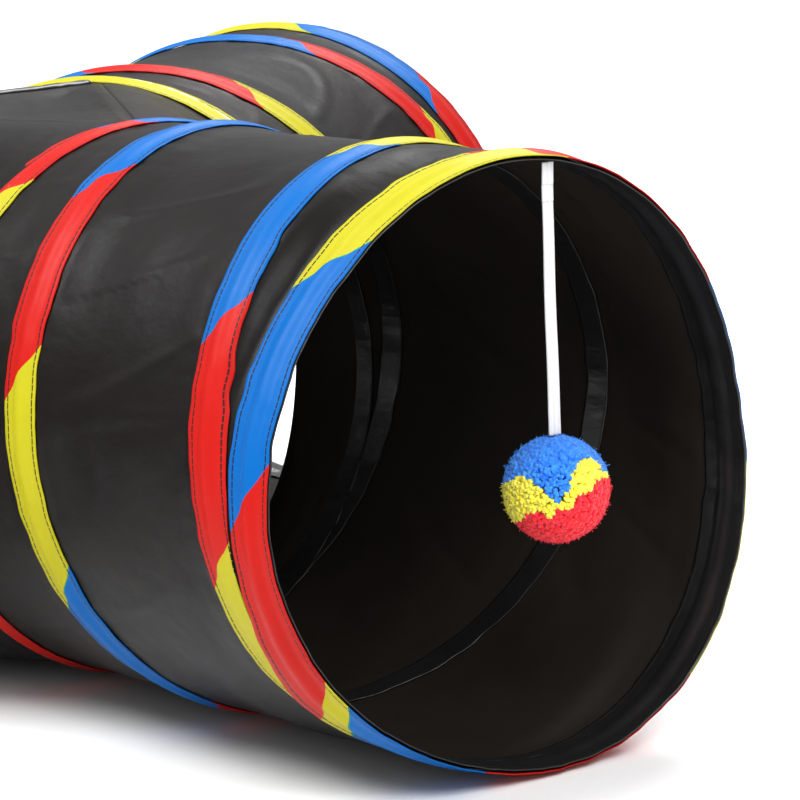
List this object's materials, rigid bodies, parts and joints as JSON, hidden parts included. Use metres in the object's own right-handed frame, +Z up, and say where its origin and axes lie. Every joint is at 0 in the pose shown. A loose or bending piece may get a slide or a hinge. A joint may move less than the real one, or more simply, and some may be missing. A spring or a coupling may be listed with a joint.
{
  "type": "pet agility tunnel",
  "caption": "Collapsible Y-shaped fabric play tunnel for small pets: spring-wire coils under coloured tape, open mouths and a pompom hanging on elastic.",
  "frame": {"origin": "on the floor under the centre of the hub, where the three legs' axes meet", "axes": "+Z up; +X along the front leg, the one with the hanging toy; the other legs leave at 120 and 240 degrees about +Z"},
  "size_m": [0.6729, 0.7513, 0.2563],
  "materials": {
    "shell_cloth": "black coated polyester, satin outside and dull inside",
    "binding": "glossy black binding strip, puckered along its stitching",
    "mouth_tape": "wide satin tape in red, yellow and blue lengths, black edge stitching",
    "coil_tape": "narrow satin tape in red, yellow and blue lengths, black edge stitching",
    "spring_wire": "drawn spring steel",
    "elastic": "flat white braided elastic",
    "yarn": "cut acrylic yarn in blue, yellow and red"
  },
  "bodies": {
    "hub": {"hub_top_panel": "shell_cloth", "hub_floor_panel": "shell_cloth", "hub_side_panel_front_back": "shell_cloth", "hub_side_panel_back_side": "shell_cloth", "hub_side_panel_side_front": "shell_cloth", "hub_top_seam": "shell_cloth", "front_sleeve": "shell_cloth", "front_coil_wire": "spring_wire", "front_coil_tape": "coil_tape", "front_coil_binding": "binding", "front_hub_hoop": "spring_wire", "front_hub_hoop_tape": "coil_tape", "front_hub_hoop_binding": "binding", "back_sleeve": "shell_cloth", "back_coil_wire": "spring_wire", "back_coil_tape": "coil_tape", "back_coil_binding": "binding", "back_hub_hoop": "spring_wire", "back_hub_hoop_tape": "coil_tape", "back_hub_hoop_binding": "binding", "side_sleeve": "shell_cloth", "side_coil_wire": "spring_wire", "side_coil_tape": "coil_tape", "side_coil_binding": "binding", "side_hub_hoop": "spring_wire", "side_hub_hoop_tape": "coil_tape", "side_hub_hoop_binding": "binding"},
    "front_mouth": {"front_mouth_hoop": "spring_wire", "front_mouth_tape": "mouth_tape", "front_mouth_binding": "binding"},
    "back_mouth": {"back_mouth_hoop": "spring_wire", "back_mouth_tape": "mouth_tape", "back_mouth_binding": "binding"},
    "side_mouth": {"side_mouth_hoop": "spring_wire", "side_mouth_tape": "mouth_tape", "side_mouth_binding": "binding"},
    "toy_tab": {"toy_cord_tab": "elastic"},
    "toy_cord": {"toy_cord": "elastic"},
    "toy_pompom": {"toy_pompom": "yarn", "toy_pompom_tie": "elastic"}
  },
  "joints": [
    {"name": "front_collapse", "type": "slide", "parent": "hub", "child": "front_mouth", "axis": [-1, 0, 0], "range_m": [0, 0.2], "stiffness_N_per_m": 40, "springref_m": -0.03, "deforming": ["front_sleeve", "front_coil_wire", "front_coil_tape", "front_coil_binding"]},
    {"name": "back_collapse", "type": "slide", "parent": "hub", "child": "back_mouth", "axis": [0.5, -0.866, 0], "range_m": [0, 0.2], "stiffness_N_per_m": 40, "springref_m": -0.03, "deforming": ["back_sleeve", "back_coil_wire", "back_coil_tape", "back_coil_binding"]},
    {"name": "side_collapse", "type": "slide", "parent": "hub", "child": "side_mouth", "axis": [0.5, 0.866, 0], "range_m": [0, 0.2], "stiffness_N_per_m": 40, "springref_m": -0.03, "deforming": ["side_sleeve", "side_coil_wire", "side_coil_tape", "side_coil_binding"]},
    {"name": "toy_sway", "type": "hinge", "parent": "front_mouth", "child": "toy_tab", "pos_m": [0.3495, 0.026, 0.24655], "axis": [1, 0, 0], "range_deg": [-40, 30]},
    {"name": "toy_swing", "type": "hinge", "parent": "toy_tab", "child": "toy_cord", "pos_m": [0.3495, 0.026, 0.24005], "axis": [0, 1, 0], "range_deg": [-60, 60]},
    {"name": "toy_twist", "type": "hinge", "parent": "toy_cord", "child": "toy_pompom", "pos_m": [0.3495, 0.0275, 0.14025], "axis": [0, 0, 1], "range_deg": [-180, 180]}
  ]
}
